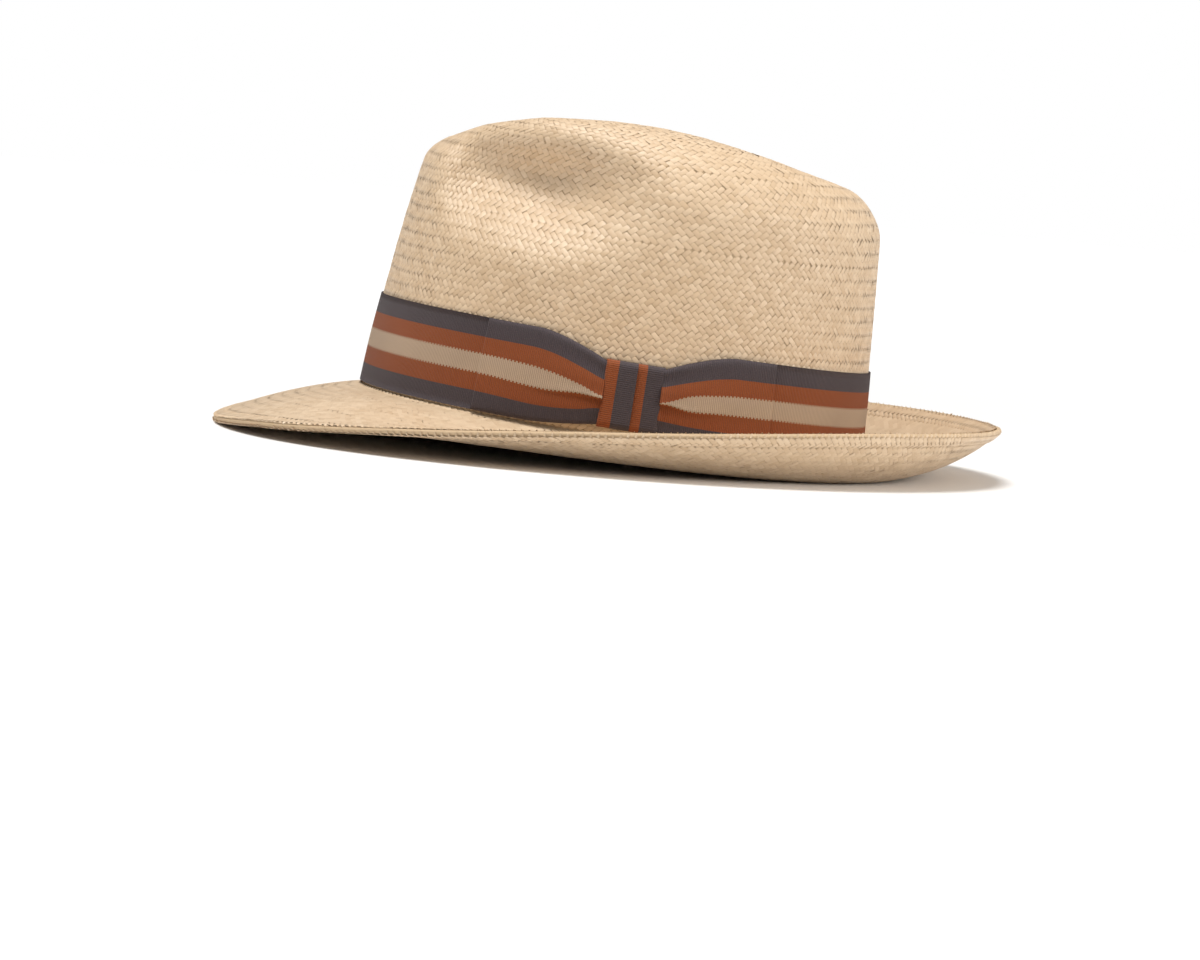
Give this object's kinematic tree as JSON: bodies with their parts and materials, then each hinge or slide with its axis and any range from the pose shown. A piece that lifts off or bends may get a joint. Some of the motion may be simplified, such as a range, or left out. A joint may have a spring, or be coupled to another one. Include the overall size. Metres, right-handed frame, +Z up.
{
  "type": "woven straw hat with striped ribbon",
  "caption": "Woven straw hat with a pinched crown, a brim turned down in front and up behind, and a striped ribbon with a flat side bow.",
  "frame": {"origin": "on the floor under the middle of the hat's outline, as it rests on its brim", "axes": "+Z up, the face side of the hat looks along -Y, the wearer's left side with the bow is at +X"},
  "size_m": [0.2846, 0.3192, 0.132],
  "materials": {
    "straw": "natural pale straw woven in a herringbone twill, matt with a soft sheen",
    "ribbon_grey": "ribbed ribbon with grey, rust and cream stripes, matt",
    "ribbon_rust": "the same ribbed striped ribbon, folded to the front loop, matt",
    "ribbon_cream": "the same ribbed striped ribbon, folded to the back loop, matt",
    "ribbon_knot": "the same ribbed striped ribbon, turned upright and pleated over the middle, matt"
  },
  "bodies": {
    "root": {"hat_body": "straw", "ribbon_band": "ribbon_grey", "bow_front_loop": "ribbon_rust", "bow_back_loop": "ribbon_cream", "bow_knot": "ribbon_knot"}
  },
  "joints": []
}
